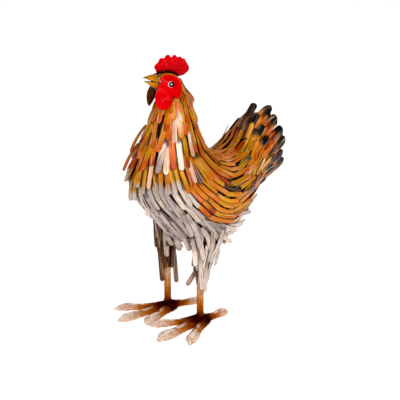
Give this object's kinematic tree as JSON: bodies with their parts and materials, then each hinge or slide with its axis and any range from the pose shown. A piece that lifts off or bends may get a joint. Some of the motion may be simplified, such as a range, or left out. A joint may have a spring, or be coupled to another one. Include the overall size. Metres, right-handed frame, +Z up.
{
  "type": "hen statue",
  "caption": "Standing hen statue of painted sheet metal with layered strip feathers, a fanned tail, a red comb and wattles, and tube legs on splayed toes.",
  "frame": {"origin": "on the floor, under the middle of the bird's bounding box", "axes": "+Z up, the bird looks along -Y, its left side is +X"},
  "size_m": [0.2012, 0.3184, 0.476],
  "materials": {
    "shell": "dark painted steel in the shade between the feathers",
    "copper_feathers": "streaked ochre and orange lacquer, semi-gloss",
    "cream_feathers": "brushed cream paint, satin",
    "tail_feathers": "orange brown to black paint with glossy highlights",
    "ochre_paint": "mustard ochre lacquer, semi-gloss",
    "red_paint": "bright red enamel on hammered plate, glossy",
    "eye_enamel": "glossy black enamel with a pale ring",
    "leg_paint": "amber brown lacquer fading to cream claws"
  },
  "bodies": {
    "root": {"body_shell": "shell", "feather_course_01": "copper_feathers", "feather_course_02": "copper_feathers", "feather_course_03": "copper_feathers", "feather_course_04": "copper_feathers", "feather_course_05": "copper_feathers", "feather_course_06": "cream_feathers", "feather_course_07": "cream_feathers", "feather_course_08": "cream_feathers", "feather_course_09": "cream_feathers", "feather_course_10": "copper_feathers", "feather_course_11": "copper_feathers", "feather_course_12": "copper_feathers", "tail_feather_left_1": "tail_feathers", "tail_feather_left_2": "tail_feathers", "tail_feather_left_3": "tail_feathers", "tail_feather_left_4": "tail_feathers", "tail_feather_left_5": "tail_feathers", "tail_feather_left_6": "tail_feathers", "tail_feather_left_7": "tail_feathers", "tail_feather_right_1": "tail_feathers", "tail_feather_right_2": "tail_feathers", "tail_feather_right_3": "tail_feathers", "tail_feather_right_4": "tail_feathers", "tail_feather_right_5": "tail_feathers", "tail_feather_right_6": "tail_feathers", "tail_feather_right_7": "tail_feathers", "head": "ochre_paint", "upper_beak": "ochre_paint", "lower_beak": "ochre_paint", "comb": "red_paint", "face_plate_left": "red_paint", "eye_left": "eye_enamel", "leg_left": "leg_paint", "toe_inner_left": "leg_paint", "toe_middle_left": "leg_paint", "toe_outer_left": "leg_paint", "toe_back_left": "leg_paint", "thigh_feathers_upper_left": "cream_feathers", "thigh_feathers_lower_left": "cream_feathers", "face_plate_right": "red_paint", "eye_right": "eye_enamel", "leg_right": "leg_paint", "toe_inner_right": "leg_paint", "toe_middle_right": "leg_paint", "toe_outer_right": "leg_paint", "toe_back_right": "leg_paint", "thigh_feathers_upper_right": "cream_feathers", "thigh_feathers_lower_right": "cream_feathers"}
  },
  "joints": []
}
